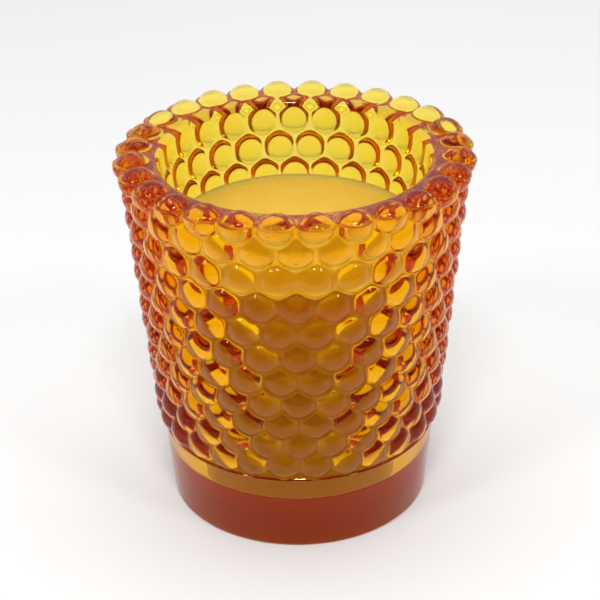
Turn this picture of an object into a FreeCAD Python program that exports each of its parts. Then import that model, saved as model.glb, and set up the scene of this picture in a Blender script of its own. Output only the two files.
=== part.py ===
import FreeCAD, Part
import math
import os
import re
import Sketcher

# Pressed-glass votive candle holder, filled with wax. Millimetres, +Z up, origin at the
# centre of the foot. The cup is one piece of glass: a tapered wall with rings of round
# beads pressed on its outside, a ring of beads standing on the lip, and a smooth band
# above a thick solid base. In it are a poured wax fill, a cotton wick and the tinned
# sustainer that holds the wick upright on the cavity floor.

DOC = FreeCAD.newDocument("votive_candle_holder")
ORIGIN = FreeCAD.Vector(0, 0, 0)
UP = FreeCAD.Vector(0, 0, 1)
UPRIGHT = FreeCAD.Placement(ORIGIN, FreeCAD.Rotation(FreeCAD.Vector(1, 0, 0), 90))

# Driving dimensions: alias, value, meaning.
DIMENSIONS = (
    ("bead_count", 28, "beads in every ring"),
    ("bead_radius", 3.8, "sphere radius of a wall bead"),
    ("bead_height", 1.64, "how far a wall bead stands out of the wall"),
    ("tip_radius", 24.98, "cone over the bead tips, carried down to the foot plane"),
    ("taper", 0.0922, "growth of the radii for each millimetre of height"),
    ("top_row_height", 62.0, "centre height of the highest ring on the wall"),
    ("row_gap", 5.5, "height between the two highest rings"),
    ("gap_ratio", 0.968, "each gap between rings over the gap above it"),
    ("rim_height", 67.0, "top of the lip, on the parting line through the rim beads"),
    ("rim_ring_radius", 28.45, "radius of the ring of rim bead centres"),
    ("rim_bowl_radius", 3.3, "sphere radius of a rim bead below the parting line"),
    ("rim_bowl_drop", 0.5, "how far that sphere's centre is below the parting line"),
    ("rim_dome_reach", 2.9, "radius of the foot of the dome that tops a rim bead"),
    ("rim_dome_height", 1.7, "height of that dome over the parting line"),
    ("foot_radius", 23.9, "cone of the smooth band, carried down to the foot plane"),
    ("heel_radius", 0.5, "rounding between the foot and the band"),
    ("band_height", 15.0, "top of the smooth band, on the mould's parting line"),
    ("lip_rounding", 0.7, "rounding of the outer edge of the lip"),
    ("mouth_rounding", 1.4, "rounding of the inner edge of the lip"),
    ("cavity_floor", 8.1, "thickness of the solid glass base"),
    ("floor_radius", 18.4, "cone of the cavity wall, carried down to its floor"),
    ("floor_rounding", 0.8, "rounding between the cavity floor and its wall"),
    ("wax_level", 51.9, "height of the flat wax surface"),
    ("meniscus", 0.9, "how far the wax climbs the wall at its edge"),
    ("wick_radius", 1.1, "radius of the braided wick"),
    ("wick_stub", 2.2, "trimmed wick above the wax"),
    ("tab_radius", 9.5, "radius of the sustainer disc"),
    ("tab_thickness", 0.3, "sheet thickness of the sustainer"),
    ("neck_height", 5.0, "height of the sustainer neck over the disc"),
)
ALIASES = {alias for alias, _, _ in DIMENSIONS}
ROW_COUNT = 10
SEW_TOLERANCE = 1e-4

# Formulas in aliases that several pieces share.
LEAN = "sqrt(1 + taper ^ 2)"
HALF_PITCH = "180 / bead_count"
CAVITY_RADIUS = f"(floor_radius + taper * ({{height}} - cavity_floor))"
BAND_RADIUS = "(foot_radius + taper * ({height}))"
DOME_RADIUS = "((rim_dome_reach ^ 2 + rim_dome_height ^ 2) / (2 * rim_dome_height))"
WALL_RADIUS = f"(tip_radius - bead_height * {LEAN} + taper * ({{height}}))"


def make_sheet():
    """Put the driving dimensions in a spreadsheet, one alias for each."""
    sheet = DOC.addObject("Spreadsheet::Sheet", "Sizes")
    for row, (alias, size, meaning) in enumerate(DIMENSIONS, start=1):
        sheet.set(f"A{row}", meaning)
        sheet.set(f"B{row}", str(size))
        sheet.setAlias(f"B{row}", alias)
    DOC.recompute()
    return sheet


SHEET = make_sheet()


def bound(formula):
    """Write a formula in aliases as an expression that reads the spreadsheet."""
    return re.sub(r"[a-z_]+", lambda word: f"Sizes.{word[0]}" if word[0] in ALIASES else word[0], formula)


def size(formula):
    """Work out a formula in aliases as a number."""
    return float(SHEET.evalExpression(bound(formula)))


def bind(feature, **formulas):
    """Bind properties of a feature to formulas; a double underscore stands for a dot."""
    for name, formula in formulas.items():
        feature.setExpression(name.replace("__", "."), bound(formula))


def arc_between(start, end, radius):
    """Return an arc from start to end; it turns left where the radius is positive."""
    chord = end - start
    left = FreeCAD.Vector(-chord.y, chord.x, 0).normalize()
    reach = math.sqrt(radius ** 2 - chord.Length ** 2 / 4)
    side = math.copysign(1, radius)
    centre = (start + end) * 0.5 + left * (side * reach)
    middle = centre - left * (side * abs(radius))
    return Part.Arc(start, middle, end)


def draw_outline(sketch, corners):
    """Draw a closed outline bound to the sheet.

    A corner is (across, up) or (across, up, radius), in formulas. The edge that leaves it
    is straight, or an arc of that radius that turns left, or right with a minus sign.
    """
    points = [FreeCAD.Vector(size(corner[0]), size(corner[1]), 0) for corner in corners]
    ends = []
    for index, corner in enumerate(corners):
        start = points[index]
        end = points[(index + 1) % len(points)]
        if len(corner) == 3:
            edge = sketch.addGeometry(arc_between(start, end, size(corner[2])))
            radius = sketch.addConstraint(Sketcher.Constraint("Radius", edge, abs(size(corner[2]))))
            sketch.setExpression(f"Constraints[{radius}]", bound(corner[2].lstrip("-")))
        else:
            edge = sketch.addGeometry(Part.LineSegment(start, end))
        forward = sketch.getPoint(edge, 1).isEqual(start, 1e-6)
        ends.append((edge, 1, 2) if forward else (edge, 2, 1))
    for index, (edge, first, last) in enumerate(ends):
        following, start_point, _ = ends[(index + 1) % len(ends)]
        sketch.addConstraint(Sketcher.Constraint("Coincident", edge, last, following, start_point))
        for kind, formula in zip(("DistanceX", "DistanceY"), corners[index]):
            number = sketch.addConstraint(Sketcher.Constraint(kind, -1, 1, edge, first, size(formula)))
            sketch.setExpression(f"Constraints[{number}]", bound(formula))


def turned_wedge(name, corners):
    """Turn an outline about Z through half the pitch of the beads."""
    sketch = DOC.addObject("Sketcher::SketchObject", f"{name}_section")
    sketch.Placement = UPRIGHT
    draw_outline(sketch, corners)
    wedge = DOC.addObject("Part::Revolution", name)
    wedge.Source = sketch
    wedge.Axis = UP
    wedge.Solid = True
    bind(wedge, Angle=HALF_PITCH)
    return wedge


def turned_body(name, corners):
    """Turn an outline fully about Z, as a body of its own."""
    body = DOC.addObject("PartDesign::Body", name)
    sketch = body.newObject("Sketcher::SketchObject", f"{name}_section")
    plane = next(item for item in body.Origin.OriginFeatures if item.Role == "XZ_Plane")
    sketch.AttachmentSupport = [(plane, "")]
    sketch.MapMode = "FlatFace"
    draw_outline(sketch, corners)
    turned = body.newObject("PartDesign::Revolution", f"{name}_turned")
    turned.Profile = sketch
    turned.ReferenceAxis = (sketch, ["V_Axis"])
    turned.Angle = 360
    body.Tip = turned
    return body


def wall_outline():
    """Section of the plain cup: base, band, wall, rounded lip and cavity."""
    heel_centre = f"{BAND_RADIUS.format(height='heel_radius')} - heel_radius * {LEAN}"
    lip_height = "rim_height - lip_rounding"
    outer_centre = f"{WALL_RADIUS.format(height=lip_height)} - lip_rounding * {LEAN}"
    mouth_height = "rim_height - mouth_rounding"
    inner_centre = f"{CAVITY_RADIUS.format(height=mouth_height)} + mouth_rounding * {LEAN}"
    floor_height = "cavity_floor + floor_rounding"
    floor_centre = f"{CAVITY_RADIUS.format(height=floor_height)} - floor_rounding * {LEAN}"
    return (
        ("0", "0"),
        (heel_centre, "0", "heel_radius"),
        (f"{heel_centre} + heel_radius / {LEAN}", f"heel_radius - heel_radius * taper / {LEAN}"),
        (BAND_RADIUS.format(height="band_height"), "band_height"),
        (WALL_RADIUS.format(height="band_height"), "band_height"),
        (f"{outer_centre} + lip_rounding / {LEAN}",
         f"{lip_height} - lip_rounding * taper / {LEAN}", "lip_rounding"),
        (outer_centre, "rim_height"),
        (inner_centre, "rim_height", "mouth_rounding"),
        (f"{inner_centre} - mouth_rounding / {LEAN}",
         f"{mouth_height} + mouth_rounding * taper / {LEAN}"),
        (f"{floor_centre} + floor_rounding / {LEAN}",
         f"{floor_height} - floor_rounding * taper / {LEAN}", "-floor_rounding"),
        (floor_centre, "cavity_floor"),
        ("0", "cavity_floor"),
    )


def bead_zone_outline():
    """Section of the space that wall beads may fill, from the middle of the wall outwards."""
    middle = f"({WALL_RADIUS} + {CAVITY_RADIUS}) / 2"
    below = "band_height - bead_radius"
    above = "rim_height + bead_radius"
    outside = "rim_ring_radius + 2 * bead_radius"
    return (
        (middle.format(height=below), below),
        (outside, below),
        (outside, above),
        (middle.format(height=above), above),
    )


def row_height(row):
    """Formula for the height of a ring of wall beads, counted down from the top."""
    return f"top_row_height - row_gap * (1 - gap_ratio ^ {row}) / (1 - gap_ratio)"


def bead(name, radius, ring_radius, height, turn, lowest="-90", highest="90"):
    """Place a sphere, or a zone of one, on a ring, with its seam facing straight outwards."""
    ball = DOC.addObject("Part::Sphere", name)
    bind(
        ball,
        Radius=radius,
        Angle1=lowest,
        Angle2=highest,
        Placement__Base__x=f"{ring_radius} * cos({turn})",
        Placement__Base__y=f"{ring_radius} * sin({turn})",
        Placement__Base__z=height,
        Placement__Rotation__Angle=turn,
    )
    return ball


def combine(kind, name, shapes):
    """Join or intersect several features in one boolean."""
    feature = DOC.addObject(f"Part::Multi{kind}", name)
    feature.Shapes = shapes
    feature.Refine = True
    return feature


def make_glass_tile():
    """Build half a pitch of the cup, between the middles of two neighbouring beads."""
    wall = turned_wedge("wall_wedge", wall_outline())
    zone = turned_wedge("bead_zone", bead_zone_outline())
    balls = []
    for row in range(ROW_COUNT):
        height = row_height(row)
        ring_radius = f"(tip_radius - bead_radius * {LEAN} + taper * ({height}))"
        turn = "0 deg" if row % 2 == 0 else f"{HALF_PITCH} * 1 deg"
        balls.append(bead(f"wall_ball_{row + 1}", "bead_radius", ring_radius, height, turn))
    rim_turn = f"{HALF_PITCH} * 1 deg"
    bowl_height = "rim_height - rim_bowl_drop"
    bowl_top = "asin(rim_bowl_drop / rim_bowl_radius)"
    bowl = bead("rim_bowl", "rim_bowl_radius", "rim_ring_radius", bowl_height, rim_turn, highest=bowl_top)
    balls.append(bowl)
    wall_balls = combine("Fuse", "wall_balls", balls)
    wall_beads = combine("Common", "wall_beads", [wall_balls, zone])
    dome_drop = f"({DOME_RADIUS} - rim_dome_height)"
    dome_foot = f"asin({dome_drop} / {DOME_RADIUS})"
    dome_height = f"rim_height - {dome_drop}"
    dome = bead("rim_dome", DOME_RADIUS, "rim_ring_radius", dome_height, rim_turn, lowest=dome_foot)
    sector = DOC.addObject("Part::Cylinder", "sector")
    bind(
        sector,
        Radius="rim_ring_radius + 2 * rim_bowl_radius",
        Height="rim_height + 2 * rim_dome_height",
        Angle=HALF_PITCH,
    )
    half_dome = combine("Common", "half_dome", [dome, sector])
    return combine("Fuse", "glass_tile", [wall, wall_beads, half_dome])


def lies_on_side(face, angle):
    """Say whether a face lies in the upright plane through Z at an angle."""
    if not isinstance(face.Surface, Part.Plane):
        return False
    normal = FreeCAD.Vector(-math.sin(angle), math.cos(angle), 0)
    return all(abs(vertex.Point.dot(normal)) < SEW_TOLERANCE for vertex in face.Vertexes)


def ring_of_tiles(tile, count):
    """Close the cup: mirror the outer faces of a tile, turn them round Z and sew them."""
    half_pitch = math.pi / count
    skin = [face for face in tile.Faces
            if not lies_on_side(face, 0) and not lies_on_side(face, half_pitch)]
    half = Part.Compound(skin)
    pair = Part.Compound([half, half.mirror(ORIGIN, FreeCAD.Vector(0, 1, 0))])
    faces = []
    for index in range(count):
        turned = pair.copy()
        turned.rotate(ORIGIN, UP, 360 / count * index)
        faces.extend(turned.Faces)
    shell = Part.Compound(faces)
    shell.sewShape(SEW_TOLERANCE)
    solid = Part.Solid(shell.Shells[0])
    assert len(shell.Shells) == 1 and solid.isClosed()
    return solid


def make_glass_holder():
    """Make the whole glass cup from its tile."""
    tile = make_glass_tile()
    DOC.recompute()
    holder = DOC.addObject("Part::Feature", "glass_holder")
    holder.Shape = ring_of_tiles(tile.Shape.Solids[0], int(size("bead_count")))
    whole = 2 * size("bead_count") * tile.Shape.Volume
    assert abs(holder.Shape.Volume - whole) < 1e-3 * whole
    return holder


def make_wax_fill():
    """Poured wax: fills the cavity round the sustainer and the wick up to its flat surface."""
    floor_height = "cavity_floor + floor_rounding"
    floor_centre = f"{CAVITY_RADIUS.format(height=floor_height)} - floor_rounding * {LEAN}"
    edge_height = "wax_level + meniscus"
    tab_top = "cavity_floor + tab_thickness"
    neck_radius = "wick_radius + tab_thickness"
    return turned_body("wax_fill", (
        ("tab_radius", "cavity_floor"),
        (floor_centre, "cavity_floor", "floor_rounding"),
        (f"{floor_centre} + floor_rounding / {LEAN}",
         f"{floor_height} - floor_rounding * taper / {LEAN}"),
        (CAVITY_RADIUS.format(height=edge_height), edge_height, "-meniscus"),
        (f"{CAVITY_RADIUS.format(height=edge_height)} - meniscus", "wax_level"),
        ("wick_radius", "wax_level"),
        ("wick_radius", f"{tab_top} + neck_height"),
        (neck_radius, f"{tab_top} + neck_height"),
        (neck_radius, tab_top),
        ("tab_radius", tab_top),
    ))


def make_wick():
    """Braided cotton wick, from the cavity floor to the trimmed stub."""
    return turned_body("wick", (
        ("0", "cavity_floor"),
        ("wick_radius", "cavity_floor"),
        ("wick_radius", "wax_level + wick_stub"),
        ("0", "wax_level + wick_stub"),
    ))


def make_wick_sustainer():
    """Pressed disc with a neck that is crimped round the foot of the wick."""
    tab_top = "cavity_floor + tab_thickness"
    neck_radius = "wick_radius + tab_thickness"
    return turned_body("wick_sustainer", (
        ("wick_radius", "cavity_floor"),
        ("tab_radius", "cavity_floor"),
        ("tab_radius", tab_top),
        (neck_radius, tab_top),
        (neck_radius, f"{tab_top} + neck_height"),
        ("wick_radius", f"{tab_top} + neck_height"),
    ))


def check_document():
    """Stop if any feature failed."""
    for item in DOC.Objects:
        states = set(item.State)
        assert not states & {"Invalid", "Error"}, f"{item.Name} failed: {states}"


def export_piece(piece):
    """Check a sub-part and write it to a STEP file named after its label."""
    shape = piece.Shape
    assert not shape.isNull() and shape.isValid(), piece.Label
    assert len(shape.Solids) == 1, piece.Label
    shape.exportStep(f"parts/{piece.Label}.step")
    print(f"{piece.Label}: {shape.Volume:.1f} mm3, {shape.BoundBox}")


os.makedirs("parts", exist_ok=True)
PIECES = (make_glass_holder(), make_wax_fill(), make_wick(), make_wick_sustainer())
DOC.recompute()
check_document()
for sub_part in PIECES:
    export_piece(sub_part)
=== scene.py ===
import math

import bpy
import numpy as np
from mathutils import Matrix, Vector


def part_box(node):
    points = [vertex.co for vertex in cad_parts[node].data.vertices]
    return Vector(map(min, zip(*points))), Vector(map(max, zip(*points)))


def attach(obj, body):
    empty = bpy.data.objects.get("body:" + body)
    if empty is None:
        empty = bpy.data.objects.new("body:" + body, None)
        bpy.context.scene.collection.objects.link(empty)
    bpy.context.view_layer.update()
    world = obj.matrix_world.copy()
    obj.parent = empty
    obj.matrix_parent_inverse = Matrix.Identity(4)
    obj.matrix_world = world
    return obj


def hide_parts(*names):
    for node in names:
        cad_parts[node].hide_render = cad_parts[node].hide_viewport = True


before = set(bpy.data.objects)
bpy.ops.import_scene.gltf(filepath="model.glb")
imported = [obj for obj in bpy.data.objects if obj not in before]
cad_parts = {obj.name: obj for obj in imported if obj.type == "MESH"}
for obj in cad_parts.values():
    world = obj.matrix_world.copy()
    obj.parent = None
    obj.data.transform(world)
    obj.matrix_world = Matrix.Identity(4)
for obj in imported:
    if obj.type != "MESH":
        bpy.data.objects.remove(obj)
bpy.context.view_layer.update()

# Lengths are in millimetres up to the meshes, which are in metres.
MM = 0.001

# ---------------------------------------------------------------- sizes

glass_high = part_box("glass_holder")[1]
wax_low, wax_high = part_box("wax_fill")
wick_low, wick_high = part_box("wick")
tab_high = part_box("wick_sustainer")[1]

BEAD_COUNT = 28                       # beads in every ring
PITCH = 2 * math.pi / BEAD_COUNT
ROW_COUNT = 10                        # rings of beads on the wall
BEAD_RADIUS = 3.8
BEAD_HEIGHT = 1.64
TOP_ROW_HEIGHT = 62.0
ROW_GAP = 5.5
GAP_RATIO = 0.968
TAPER = 0.0922                        # growth of the radii with height
LEAN = math.hypot(1, TAPER)
RIM_BOWL_RADIUS = 3.3                 # lower part of a rim bead
RIM_BOWL_DROP = 0.5                   # its centre is this far below the lip
RIM_DOME_REACH = 2.9                  # upper part of a rim bead, where it stands on the lip
RIM_DOME_HEIGHT = 1.7
RIM_DOME_RADIUS = (RIM_DOME_REACH ** 2 + RIM_DOME_HEIGHT ** 2) / (2 * RIM_DOME_HEIGHT)
RIM_SHIFT = 0.25                      # the top mould sat this far towards +X
RIM_BOWL_SOFTNESS = 0.4               # creases between the bowls and the wall
RIM_DOME_SOFTNESS = 0.2               # crease round the foot of a dome
RIM_DOME_MERGE = 0.1                  # crease between two domes
RIM_DOME_DEPTH = 0.5                  # a dome reaches this far down into the lip
RIM_HEIGHT = glass_high.z / MM - RIM_DOME_HEIGHT
RIM_RING_RADIUS = 28.45
TIP_RADIUS = 24.98                    # cone over the bead tips, at the foot plane
WALL_FOOT_RADIUS = TIP_RADIUS - BEAD_HEIGHT * LEAN
BAND_FOOT_RADIUS = 23.9
BAND_HEIGHT = 15.0
STEP_REACH = 0.3                      # half of the short stretch over the top of the band
STEP_SOFTNESS = 0.2                   # crease over the top of the band
PARTING_ROUNDING = 0.12               # edge that the mould leaves along a parting line
HEEL_RADIUS = 0.5
LIP_ROUNDING = 0.7                    # outer edge of the lip
MOUTH_ROUNDING = 1.4                  # inner edge of the lip
CAVITY_FLOOR = wax_low.z / MM
FLOOR_RADIUS = 18.4
FLOOR_ROUNDING = 0.8
MENISCUS = 0.9
WAX_LEVEL = wax_high.z / MM - MENISCUS
WICK_RADIUS = wick_high.x / MM
WICK_TOP = wick_high.z / MM
TAB_RADIUS = tab_high.x / MM
TAB_THICKNESS = 0.3
TAB_TOP = CAVITY_FLOOR + TAB_THICKNESS
NECK_RADIUS = WICK_RADIUS + TAB_THICKNESS
NECK_TOP = tab_high.z / MM
WICK_SOAK = 0.15                      # the wax reaches this far into the braid
NECK_GRIP = 0.1                       # the steel neck bites this far into the braid

COLUMNS_PER_BEAD = 26                 # mesh columns across one bead
COLUMNS = BEAD_COUNT * COLUMNS_PER_BEAD
FILLET = 0.28                         # softness of the creases between beads
SEED = 7                              # of the small differences between beads
STRAY_ANGLE = 0.0012                  # spread of the beads off their places and size
STRAY_DEPTH = 0.03
STRAY_HEIGHT = 0.05
STRAY_RADIUS = 0.025
BEAD_SPAN = 9.0                       # a ring of beads has no effect beyond this height
POLE_RADIUS = 0.4                     # innermost ring of the foot and of the cavity floor
SEAM_ANGLES = [math.radians(degrees) for degrees in (19, 139, 259)]
SEAM_HEIGHT = 0.12
SEAM_WIDTH = 0.3
WAX_GAP = 0.1                         # cast wax shrinks this far away from the glass
FLOOR_GAP = 0.02                      # the cup stands this far above the table


def wall_radius(height):
    """Radius of the wall between the beads."""
    return WALL_FOOT_RADIUS + TAPER * height


def band_radius(height):
    """Radius of the smooth band."""
    return BAND_FOOT_RADIUS + TAPER * height


def cavity_radius(height):
    """Radius of the cavity wall."""
    return FLOOR_RADIUS + TAPER * (height - CAVITY_FLOOR)


# ---------------------------------------------------------------- glass shape

def bead_rings(rng):
    """Each ring of beads on the wall, from the top down, as centres and sphere radii.

    Pressed beads are never quite alike, so each one is a little off its place and size.
    """
    rings = []
    for row in range(ROW_COUNT):
        height = TOP_ROW_HEIGHT - ROW_GAP * (1 - GAP_RATIO ** row) / (1 - GAP_RATIO)
        ring_radius = TIP_RADIUS - BEAD_RADIUS * LEAN + TAPER * height
        rings.append(bead_ring(rng, ring_radius, height, BEAD_RADIUS, 0.0 if row % 2 == 0 else 0.5))
    return rings


def bead_ring(rng, ring_radius, height, radius, offset):
    """One ring of spheres; the offset turns it by a share of the pitch."""
    return {
        "angle": (np.arange(BEAD_COUNT) + offset) * PITCH + rng.normal(0, STRAY_ANGLE, BEAD_COUNT),
        "ring_radius": ring_radius + rng.normal(0, STRAY_DEPTH, BEAD_COUNT),
        "height": height + rng.normal(0, STRAY_HEIGHT, BEAD_COUNT),
        "radius": radius + rng.normal(0, STRAY_RADIUS, BEAD_COUNT),
        "level": height,
        "offset": offset,
    }


def rim_rings(rng):
    """The rim beads: bowls up to the lip, and domes above it from the top mould."""
    bowls = bead_ring(rng, RIM_RING_RADIUS, RIM_HEIGHT - RIM_BOWL_DROP, RIM_BOWL_RADIUS, 0.5)
    dome_height = RIM_HEIGHT + RIM_DOME_HEIGHT - RIM_DOME_RADIUS
    domes = bead_ring(rng, RIM_RING_RADIUS, dome_height, RIM_DOME_RADIUS, 0.5)
    domes["ring_radius"] += RIM_SHIFT * np.sin(domes["angle"])
    domes["angle"] += RIM_SHIFT / RIM_RING_RADIUS * np.cos(domes["angle"])
    return bowls, domes


def soft_min(a, b, softness):
    """Smaller of two distances, blended where they are close."""
    share = np.clip(0.5 + 0.5 * (b - a) / softness, 0, 1)
    return b + (a - b) * share - softness * share * (1 - share)


def round_max(a, b, radius):
    """Larger of two distances, with a round edge where they meet."""
    past = np.hypot(np.maximum(a + radius, 0), np.maximum(b + radius, 0))
    return np.minimum(np.maximum(a, b), -radius) + past


def ring_distance(radius, angle, height, ring, softness):
    """Distance to the beads of one ring."""
    first = np.rint(angle / PITCH - ring["offset"]).astype(int)
    nearest = np.full_like(radius, 1e3)
    for step in (-1, 0, 1):
        index = (first + step) % BEAD_COUNT
        ring_radius = ring["ring_radius"][index]
        across = 2 * radius * ring_radius * (1 - np.cos(angle - ring["angle"][index]))
        gap = np.sqrt((radius - ring_radius) ** 2 + across + (height - ring["height"][index]) ** 2)
        nearest = soft_min(nearest, gap - ring["radius"][index], softness)
    return nearest


def seam_ridge(radius, angle, height):
    """Height of the faint upright ridges where the mould's three leaves met."""
    ridge = np.zeros_like(radius)
    for seam in SEAM_ANGLES:
        across = radius * (np.mod(angle - seam + math.pi, 2 * math.pi) - math.pi)
        ridge += SEAM_HEIGHT * np.exp(-(across / SEAM_WIDTH) ** 2)
    return np.where(height < RIM_HEIGHT - LIP_ROUNDING, ridge, 0)


def glass_distance(radius, angle, height, rings, rim):
    """Distance to the outside of the cup, negative inside the glass."""
    outer = (radius - wall_radius(height)) / LEAN - seam_ridge(radius, angle, height)
    inner = (cavity_radius(height) - radius) / LEAN
    edge = np.where(outer > inner, LIP_ROUNDING, MOUTH_ROUNDING)
    wall = round_max(np.maximum(outer, inner), height - RIM_HEIGHT, edge)
    band = round_max((radius - band_radius(height)) / LEAN, height - BAND_HEIGHT, PARTING_ROUNDING)
    distance = soft_min(wall, band, STEP_SOFTNESS)
    beads = np.full_like(distance, 1e3)
    for ring in rings:
        near = np.abs(height - ring["level"]) < BEAD_SPAN
        if near.any():
            ring_gap = ring_distance(radius[near], angle[near], height[near], ring, FILLET)
            beads[near] = soft_min(beads[near], ring_gap, FILLET)
    distance = soft_min(distance, beads, FILLET)
    near = height > RIM_HEIGHT - BEAD_SPAN
    if near.any():
        r, a, h = radius[near], angle[near], height[near]
        bowls, domes = rim
        bowl_gap = ring_distance(r, a, h, bowls, RIM_BOWL_SOFTNESS)
        bowl = round_max(bowl_gap, h - RIM_HEIGHT, PARTING_ROUNDING)
        dome_gap = ring_distance(r, a, h, domes, RIM_DOME_MERGE)
        dome = np.maximum(dome_gap, RIM_HEIGHT - RIM_DOME_DEPTH - h)
        with_bowls = soft_min(distance[near], bowl, RIM_BOWL_SOFTNESS)
        distance[near] = soft_min(with_bowls, dome, RIM_DOME_SOFTNESS)
    return distance


def arc_points(centre, radius, start, end, count):
    """Points and outward directions along an arc in the section plane, end point left out."""
    turns = np.radians(start) + np.radians(end - start) * np.arange(count) / count
    directions = np.stack([np.cos(turns), np.sin(turns)], axis=-1)
    return np.asarray(centre) + radius * directions, directions


def line_points(start, end, count):
    """Points along a straight run in the section plane, end point left out."""
    share = np.arange(count)[:, None] / count
    return np.asarray(start) + (np.asarray(end) - np.asarray(start)) * share


def tilt():
    """Angle of the wall from upright, in degrees."""
    return math.degrees(math.atan(TAPER))


def cavity_corner():
    """Centre of the rounding between the cavity floor and its wall, in the section plane."""
    height = CAVITY_FLOOR + FLOOR_ROUNDING
    return cavity_radius(height) - FLOOR_ROUNDING * LEAN, height


def beaded_section():
    """Base points and directions up the beaded wall, over the lip, to the cavity wall.

    The last number of each stretch is its count of mesh rings.
    """
    lip = RIM_HEIGHT - LIP_ROUNDING
    outer_centre = (wall_radius(lip) - LIP_ROUNDING * LEAN, lip)
    mouth = RIM_HEIGHT - MOUTH_ROUNDING
    inner_centre = (cavity_radius(mouth) + MOUTH_ROUNDING * LEAN, mouth)
    outward = np.array([1, -TAPER]) / LEAN
    lip_start = np.asarray(outer_centre) + LIP_ROUNDING * outward
    step_foot = (wall_radius(BAND_HEIGHT - STEP_REACH), BAND_HEIGHT - STEP_REACH)
    step_top = (wall_radius(BAND_HEIGHT + STEP_REACH), BAND_HEIGHT + STEP_REACH)
    flat_start = (outer_centre[0], RIM_HEIGHT)
    flat_end = (inner_centre[0], RIM_HEIGHT)
    parts = [
        (line_points(step_foot, step_top, 8), outward),
        (line_points(step_top, lip_start, 230), outward),
        arc_points(outer_centre, LIP_ROUNDING, -tilt(), 90, 84),
        (line_points(flat_start, flat_end, 20), np.array([0, 1])),
        arc_points(inner_centre, MOUTH_ROUNDING, 90, 180 - tilt(), 12),
    ]
    points = np.concatenate([part[0] for part in parts])
    directions = np.concatenate([np.broadcast_to(part[1], part[0].shape) for part in parts])
    return points, directions


def press_beads(points, directions, rings, rim):
    """Move each ring of base points out along its direction to the surface of the glass.

    Each point starts clear of the beads and steps back towards the wall by a share of the
    distance that is left.
    """
    start = 7.0
    steps = 60
    share = 0.9
    angles = np.arange(COLUMNS) * (2 * math.pi / COLUMNS)
    angle = np.broadcast_to(angles, (len(points), COLUMNS)).ravel()
    base = np.repeat(points, COLUMNS, axis=0)
    direction = np.repeat(directions, COLUMNS, axis=0)
    reach = np.full(len(base), start)
    for _ in range(steps):
        place = base + direction * reach[:, None]
        reach -= share * glass_distance(place[:, 0], angle, place[:, 1], rings, rim)
    place = base + direction * reach[:, None]
    return place.reshape(len(points), COLUMNS, 2)


def plain_ring(section):
    """Repeat a section point round every column."""
    return np.broadcast_to(np.asarray(section)[:, None, :], (len(section), COLUMNS, 2))


def glass_sections():
    """All rings of the cup, from under the foot, up the outside, and down into the cavity."""
    rng = np.random.default_rng(SEED)
    rings = bead_rings(rng)
    rim = rim_rings(rng)
    heel_centre = (band_radius(HEEL_RADIUS) - HEEL_RADIUS * LEAN, HEEL_RADIUS)
    floor_centre = cavity_corner()
    foot = line_points((POLE_RADIUS, 0), (heel_centre[0], 0), 16)
    heel, _ = arc_points(heel_centre, HEEL_RADIUS, -90, -tilt(), 10)
    heel_end = np.asarray(heel_centre) + HEEL_RADIUS * np.array([1, -TAPER]) / LEAN
    band_top = BAND_HEIGHT - STEP_REACH
    band = line_points(heel_end, (band_radius(band_top), band_top), 24)
    beaded = press_beads(*beaded_section(), rings, rim)
    mouth = RIM_HEIGHT - MOUTH_ROUNDING
    lip_end_height = mouth + MOUTH_ROUNDING * TAPER / LEAN
    lip_end = (cavity_radius(lip_end_height), lip_end_height)
    rounding, _ = arc_points(floor_centre, FLOOR_ROUNDING, -tilt(), -90, 10)
    cavity = line_points(lip_end, rounding[0], 60)
    floor_radii = np.linspace(floor_centre[0], POLE_RADIUS, 14)
    floor = np.stack([floor_radii, np.full_like(floor_radii, CAVITY_FLOOR)], axis=-1)
    plain_before = plain_ring(np.concatenate([foot, heel, band]))
    plain_after = plain_ring(np.concatenate([cavity, rounding, floor]))
    return np.concatenate([plain_before, beaded, plain_after])


def section_mesh(name, grid, pole_heights=None):
    """Smooth mesh from rings of (radius, height), turned about Z.

    The ends close on poles at the given heights, or on each other where none are given.
    """
    count, columns = grid.shape[:2]
    angles = np.arange(columns) * (2 * math.pi / columns)
    x = grid[..., 0] * np.sin(angles)
    y = -grid[..., 0] * np.cos(angles)
    vertices = np.stack([x, y, grid[..., 1]], axis=-1).reshape(-1, 3)
    column = np.arange(columns)
    following = (column + 1) % columns
    faces = []
    for ring in range(count if pole_heights is None else count - 1):
        low = ring * columns
        high = (ring + 1) % count * columns
        quads = np.stack([low + column, low + following, high + following, high + column], axis=-1)
        faces.extend(quads.tolist())
    if pole_heights is not None:
        first = len(vertices)
        top = (count - 1) * columns
        vertices = np.concatenate([vertices, [[0, 0, height] for height in pole_heights]])
        faces += [(first, int(b), int(a)) for a, b in zip(column, following)]
        faces += [(first + 1, int(top + a), int(top + b)) for a, b in zip(column, following)]
    return mesh_object(name, vertices * MM, faces)


def mesh_object(name, vertices, faces):
    """Link a smooth-shaded mesh object."""
    mesh = bpy.data.meshes.new(name)
    mesh.from_pydata(np.asarray(vertices).tolist(), [], faces)
    mesh.update()
    mesh.polygons.foreach_set("use_smooth", [True] * len(mesh.polygons))
    item = bpy.data.objects.new(name, mesh)
    bpy.context.scene.collection.objects.link(item)
    return item


def make_glass():
    """The pressed cup, with soft creases between its beads."""
    return section_mesh("glass_cup", glass_sections(), (0, CAVITY_FLOOR))


# ---------------------------------------------------------------- contents

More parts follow.
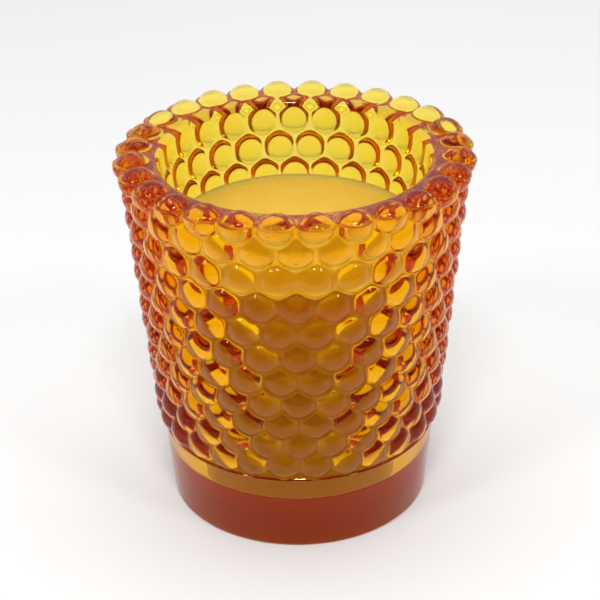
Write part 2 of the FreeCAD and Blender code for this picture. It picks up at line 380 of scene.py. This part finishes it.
def make_wax():
    """Poured wax: just clear of the glass, hollow under the steel, with raised edges.

    It climbs the wall in an arc of the meniscus radius, and the wick in a soft collar.
    """
    columns = 224
    collar_height = 0.45
    collar_reach = 0.6
    bore = WICK_RADIUS - WICK_SOAK
    edge = WAX_LEVEL + MENISCUS
    centre = cavity_corner()
    corner = FLOOR_ROUNDING - WAX_GAP
    bottom_height = CAVITY_FLOOR + WAX_GAP
    under = np.array([
        [bore, NECK_TOP],
        [NECK_RADIUS, NECK_TOP],
        [NECK_RADIUS, TAB_TOP],
        [TAB_RADIUS, TAB_TOP],
    ])
    bottom = line_points((TAB_RADIUS, bottom_height), (centre[0], bottom_height), 5)
    rounding, _ = arc_points(centre, corner, -90, -tilt(), 10)
    side_start = np.asarray(centre) + corner * np.array([1, -TAPER]) / LEAN
    side = line_points(side_start, (cavity_radius(edge) - WAX_GAP, edge), 30)
    turns = np.radians(np.linspace(-2 * tilt(), -90, 10))
    climb_radii = cavity_radius(edge) - WAX_GAP - MENISCUS + MENISCUS * np.cos(turns)
    climb = np.stack([climb_radii, edge + MENISCUS * np.sin(turns)], axis=-1)
    top_radii = np.linspace(climb_radii[-1], bore, 60)[1:]
    collar = collar_height * np.exp(-((top_radii - bore) / collar_reach) ** 2)
    top = np.stack([top_radii, WAX_LEVEL + collar], axis=-1)
    section = np.concatenate([under, bottom, rounding, side, climb, top])
    return section_mesh("wax_candle", np.repeat(section[:, None, :], columns, axis=1))


def tube_mesh(name, paths, radius, sides=8):
    """Round strands along point lists, closed at both ends, as one mesh."""
    vertices = []
    faces = []
    for path in paths:
        first = len(vertices)
        along = np.gradient(path, axis=0)
        along /= np.linalg.norm(along, axis=1)[:, None]
        side = np.cross(along, [0.0, 0.0, 1.0])
        side /= np.linalg.norm(side, axis=1)[:, None]
        other = np.cross(along, side)
        for place, u, v in zip(path, side, other):
            for turn in np.arange(sides) * (2 * math.pi / sides):
                vertices.append(place + radius * (math.cos(turn) * u + math.sin(turn) * v))
        for ring in range(len(path) - 1):
            low = first + ring * sides
            for k in range(sides):
                following = (k + 1) % sides
                faces.append((low + k, low + sides + k, low + sides + following, low + following))
        faces.append(tuple(first + k for k in range(sides)))
        last = first + (len(path) - 1) * sides
        faces.append(tuple(last + k for k in reversed(range(sides))))
    return mesh_object(name, np.array(vertices) * MM, faces)


def make_wick():
    """Braided wick: strands that wind both ways round a core and cross over and under."""
    strand_radius = 0.3
    mean_radius = WICK_RADIUS - 1.5 * strand_radius
    sway = 0.5 * strand_radius
    strands_each_way = 4
    lay = 5.0
    spacing = 0.22
    height = np.arange(wick_low.z / MM + strand_radius, WICK_TOP - 0.1, spacing)
    paths = []
    for way in (-1, 1):
        for strand in range(strands_each_way):
            turn = way * height / lay * 2 * math.pi + strand * 2 * math.pi / strands_each_way
            crossing = np.cos(turn * strands_each_way * way) * way
            radius = mean_radius + sway * crossing
            paths.append(np.stack([radius * np.cos(turn), radius * np.sin(turn), height], axis=-1))
    wander = 0.02
    core = np.stack([wander * np.cos(height), wander * np.sin(height), height], axis=-1)
    braid = tube_mesh("wick_braid", paths, strand_radius)
    filling = tube_mesh("wick_core", [core], mean_radius - 0.2, sides=12)
    return braid, filling


def make_sustainer():
    """Pressed disc with a rounded foot to its neck, which is crimped round the wick."""
    columns = 96
    bevel = 0.1
    crimps = 4
    crimp_depth = 0.12
    neck_rings = slice(8, 11)
    section = np.array([
        [WICK_RADIUS - NECK_GRIP, CAVITY_FLOOR + 0.08],
        [TAB_RADIUS - bevel, CAVITY_FLOOR + 0.08],
        [TAB_RADIUS, CAVITY_FLOOR + 0.15],
        [TAB_RADIUS, TAB_TOP - bevel],
        [TAB_RADIUS - bevel, TAB_TOP],
        [NECK_RADIUS + 0.5, TAB_TOP],
        [NECK_RADIUS + 0.15, TAB_TOP + 0.12],
        [NECK_RADIUS, TAB_TOP + 0.5],
        [NECK_RADIUS, NECK_TOP - bevel],
        [NECK_RADIUS - bevel, NECK_TOP],
        [WICK_RADIUS - NECK_GRIP, NECK_TOP],
    ])
    grid = np.repeat(section[:, None, :], columns, axis=1)
    angles = np.arange(columns) * (2 * math.pi / columns)
    grid[neck_rings, :, 0] *= 1 - crimp_depth * (0.5 + 0.5 * np.cos(crimps * angles)) ** 4
    return section_mesh("steel_sustainer", grid)


# ---------------------------------------------------------------- materials

def new_material(name):
    """Empty node material with its Principled shader and output."""
    material = bpy.data.materials.new(name)
    material.use_nodes = True
    tree = material.node_tree
    return material, tree, tree.nodes["Principled BSDF"]


def add_node(tree, kind, **settings):
    """Add a node; a setting names an input socket or else a property."""
    node = tree.nodes.new(kind)
    for name, value in settings.items():
        label = name.replace("_", " ").title()
        if label in node.inputs:
            node.inputs[label].default_value = value
        else:
            setattr(node, name, value)
    return node


def noise(tree, scale, detail=2.0, roughness=0.5):
    """Noise in object space, with its scale in features per metre."""
    place = add_node(tree, "ShaderNodeTexCoord")
    texture = add_node(tree, "ShaderNodeTexNoise", scale=scale, detail=detail, roughness=roughness)
    tree.links.new(place.outputs["Object"], texture.inputs["Vector"])
    return texture.outputs["Fac"]


def spread(tree, source, low, high):
    """Map a 0 to 1 value to a range."""
    mapped = add_node(tree, "ShaderNodeMapRange")
    mapped.inputs["To Min"].default_value = low
    mapped.inputs["To Max"].default_value = high
    tree.links.new(source, mapped.inputs["Value"])
    return mapped.outputs["Result"]


def height_range(tree, low, high, start=0.0, end=1.0):
    """Map the height between two levels, in millimetres, to a range of values."""
    place = add_node(tree, "ShaderNodeTexCoord")
    split = add_node(tree, "ShaderNodeSeparateXYZ")
    tree.links.new(place.outputs["Object"], split.inputs["Vector"])
    mapped = add_node(tree, "ShaderNodeMapRange")
    mapped.inputs["From Min"].default_value = low * MM
    mapped.inputs["From Max"].default_value = high * MM
    mapped.inputs["To Min"].default_value = start
    mapped.inputs["To Max"].default_value = end
    tree.links.new(split.outputs["Z"], mapped.inputs["Value"])
    return mapped.outputs["Result"]


def ramp(tree, source, stops):
    """Colour ramp with (position, colour) stops."""
    node = add_node(tree, "ShaderNodeValToRGB")
    elements = node.color_ramp.elements
    while len(elements) < len(stops):
        elements.new(0.5)
    for element, (position, colour) in zip(elements, stops):
        element.position = position
        element.color = (*colour, 1)
    tree.links.new(source, node.inputs["Fac"])
    return node.outputs["Color"]


def bump(tree, source, distance, before=None):
    """Bump of a real height in metres."""
    node = add_node(tree, "ShaderNodeBump", distance=distance)
    tree.links.new(source, node.inputs["Height"])
    if before is not None:
        tree.links.new(before, node.inputs["Normal"])
    return node.outputs["Normal"]


def amber_glass():
    """Amber soda-lime glass, tinted by the depth of glass that light passes.

    The face under the foot is ground, so it is rough there; it is also tinted a little darker there
    as painted shade.
    """
    ground_roughness = 0.55
    material, tree, shader = new_material("amber_glass")
    shader.inputs["Transmission Weight"].default_value = 1
    shader.inputs["IOR"].default_value = 1.52
    shader.inputs["Specular Tint"].default_value = (0.9, 0.42, 0.25, 1)
    ground = height_range(tree, 0.05, 0.2, ground_roughness, 0)
    # Painted shade: the ground face under the foot is tinted darker red.
    painted_foot_shade = ramp(tree, ground, [(0, (1, 1, 1)), (ground_roughness, (0.9, 0.4, 0.4))])
    tree.links.new(painted_foot_shade, shader.inputs["Base Color"])
    total = add_node(tree, "ShaderNodeMath", operation="ADD")
    tree.links.new(ground, total.inputs[0])
    tree.links.new(spread(tree, noise(tree, 900), 0.0, 0.07), total.inputs[1])
    tree.links.new(total.outputs["Value"], shader.inputs["Roughness"])
    waves = bump(tree, noise(tree, 160, detail=1), 0.06 * MM)
    tree.links.new(waves, shader.inputs["Normal"])
    absorption = add_node(tree, "ShaderNodeVolumeAbsorption")
    absorption.inputs["Color"].default_value = (0.984, 0.872, 0.0, 1)
    absorption.inputs["Density"].default_value = 400
    tree.links.new(absorption.outputs["Volume"], tree.nodes["Material Output"].inputs["Volume"])
    return material


def wax_material():
    """Waxy and translucent, with faint mottling and an uneven poured surface.

    It has painted shade: darker towards the floor of the cup, and a little darker at its top skin.
    """
    material, tree, shader = new_material("wax")
    blotches = noise(tree, 220, detail=4)
    mottled = ramp(tree, blotches, [(0.3, (0.77, 0.475, 0.055)), (0.7, (0.82, 0.52, 0.07))])
    # Painted shade by height: darker towards the cup floor and a little darker at the top skin; the
    # mottling is the wax's own tone.
    painted_shade_stops = [(position, (shade,) * 3) for position, shade in ((0, 0.75), (0.88, 1), (0.98, 0.86))]
    depth = ramp(tree, height_range(tree, 12, 52), painted_shade_stops)
    tone_and_painted_shade = add_node(tree, "ShaderNodeVectorMath", operation="MULTIPLY")
    tree.links.new(mottled, tone_and_painted_shade.inputs[0])
    tree.links.new(depth, tone_and_painted_shade.inputs[1])
    tree.links.new(tone_and_painted_shade.outputs["Vector"], shader.inputs["Base Color"])
    shader.inputs["Specular IOR Level"].default_value = 0.2
    shader.inputs["Subsurface Weight"].default_value = 0.7
    shader.inputs["Subsurface Radius"].default_value = (1.0, 0.6, 0.25)
    shader.inputs["Subsurface Scale"].default_value = 0.008
    tree.links.new(spread(tree, noise(tree, 600), 0.42, 0.6), shader.inputs["Roughness"])
    dimples = bump(tree, noise(tree, 90, detail=1), 0.3 * MM)
    grain = bump(tree, noise(tree, 2500, detail=3), 0.02 * MM, before=dimples)
    tree.links.new(grain, shader.inputs["Normal"])
    return material


def wick_material():
    """Unburnt cotton: soaked in wax at its foot, and paler towards the trimmed end."""
    material, tree, shader = new_material("cotton_wick")
    rise = height_range(tree, WAX_LEVEL - 0.5, WAX_LEVEL + 1.2)
    colour = ramp(tree, rise, [(0.0, (0.66, 0.47, 0.16)), (1.0, (0.74, 0.6, 0.34))])
    tree.links.new(colour, shader.inputs["Base Color"])
    shader.inputs["Roughness"].default_value = 0.85
    fibres = bump(tree, noise(tree, 6000, detail=4), 0.04 * MM)
    tree.links.new(fibres, shader.inputs["Normal"])
    return material


def steel_material():
    """Thin tinned sheet, a little uneven in shade and polish."""
    material, tree, shader = new_material("tinned_steel")
    shader.inputs["Metallic"].default_value = 1
    grain = noise(tree, 400, detail=3)
    shade = ramp(tree, grain, [(0.3, (0.55, 0.55, 0.54)), (0.7, (0.68, 0.68, 0.66))])
    tree.links.new(shade, shader.inputs["Base Color"])
    tree.links.new(spread(tree, noise(tree, 1500, detail=3), 0.22, 0.4), shader.inputs["Roughness"])
    return material


def floor_material():
    """Plain pale table top."""
    material, tree, shader = new_material("pale_floor")
    clouds = noise(tree, 3, detail=1)
    shade = ramp(tree, clouds, [(0.4, (0.82, 0.82, 0.82)), (0.6, (0.84, 0.84, 0.84))])
    tree.links.new(shade, shader.inputs["Base Color"])
    shader.inputs["Roughness"].default_value = 0.6
    shader.inputs["Specular IOR Level"].default_value = 0.2
    return material


def paint(item, material):
    """Give an object one material."""
    item.data.materials.clear()
    item.data.materials.append(material)


# ---------------------------------------------------------------- stage

def make_floor():
    """Table top just under the foot.

    Its front edge is close to the cup but out of the main view, so that light from low in
    front reaches the glass.
    """
    size = 3.0
    front = -0.16
    corners = [(-size, front, 0), (size, front, 0), (size, size, 0), (-size, size, 0)]
    floor = mesh_object("floor", np.array(corners, float), [(0, 1, 2, 3)])
    floor.location.z = -FLOOR_GAP * MM
    paint(floor, floor_material())


def aim(item, place, target):
    """Put an object somewhere and point its -Z axis at a target."""
    item.location = place
    item.rotation_euler = (Vector(target) - Vector(place)).to_track_quat("-Z", "Y").to_euler()


def area_light(name, place, target, width, height, power):
    """Rectangular soft light."""
    lamp = bpy.data.lights.new(name, "AREA")
    lamp.shape = "RECTANGLE"
    lamp.size = width
    lamp.size_y = height
    lamp.energy = power
    item = bpy.data.objects.new(name, lamp)
    bpy.context.scene.collection.objects.link(item)
    aim(item, place, target)


def make_lights():
    """Studio light: a bright room behind, a dim one in front, and soft boxes.

    Places and sizes are in metres, and powers in watts.
    """
    middle = (0, 0, 0.04)
    area_light("front_strip", (0.0, -0.42, 0.64), middle, 0.2, 0.045, 2.4)
    area_light("left_box", (-0.55, -0.5, 0.75), middle, 0.16, 0.16, 1.5)
    area_light("right_box", (0.55, -0.5, 0.75), middle, 0.16, 0.16, 1.2)
    area_light("top_box", (0.0, 0.12, 1.2), (0, 0.1, 0), 1.4, 1.0, 4.7)
    world = bpy.data.worlds.new("surround")
    bpy.context.scene.world = world
    world.use_nodes = True
    tree = world.node_tree
    direction = add_node(tree, "ShaderNodeTexCoord")
    split = add_node(tree, "ShaderNodeSeparateXYZ")
    tree.links.new(direction.outputs["Generated"], split.inputs["Vector"])
    depth = add_node(tree, "ShaderNodeMapRange", interpolation_type="SMOOTHSTEP")
    depth.inputs["From Min"].default_value = -0.5
    depth.inputs["From Max"].default_value = 0.3
    depth.inputs["To Min"].default_value = 0.2
    depth.inputs["To Max"].default_value = 0.8
    tree.links.new(split.outputs["Y"], depth.inputs["Value"])
    surround = tree.nodes["Background"]
    surround.inputs["Color"].default_value = (1, 1, 1, 1)
    tree.links.new(depth.outputs["Result"], surround.inputs["Strength"])


def make_camera():
    """Camera above the front, looking down into the cup; its place is in metres."""
    look_down = 28.77
    lean = -0.97
    camera = bpy.data.objects.new("camera", bpy.data.cameras.new("camera"))
    camera.data.lens = 108.4
    camera.data.sensor_width = 36
    camera.data.clip_start = 0.01
    bpy.context.scene.collection.objects.link(camera)
    pitch = Matrix.Rotation(math.radians(90 - look_down), 4, "X")
    roll = Matrix.Rotation(math.radians(lean), 4, "Z")
    place = Matrix.Translation((0.00055, -0.28895, 0.19616))
    camera.matrix_world = place @ pitch @ roll
    bpy.context.scene.camera = camera


def set_look():
    """Plain colour transform, and enough bounces for light to cross the glass many times."""
    scene = bpy.context.scene
    scene.view_settings.view_transform = "Standard"
    scene.cycles.max_bounces = 32
    scene.cycles.transmission_bounces = 32
    scene.cycles.glossy_bounces = 16
    scene.cycles.diffuse_bounces = 6


# ---------------------------------------------------------------- the model

cup = make_glass()
paint(cup, amber_glass())
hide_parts("glass_holder")
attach(cup, "root")

wax = make_wax()
paint(wax, wax_material())
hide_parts("wax_fill")
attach(wax, "root")

braid, wick_core = make_wick()
cotton = wick_material()
for strand_piece in (braid, wick_core):
    paint(strand_piece, cotton)
    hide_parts("wick")
    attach(strand_piece, "root")

sustainer = make_sustainer()
paint(sustainer, steel_material())
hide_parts("wick_sustainer")
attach(sustainer, "root")

make_floor()
make_lights()
make_camera()
set_look()
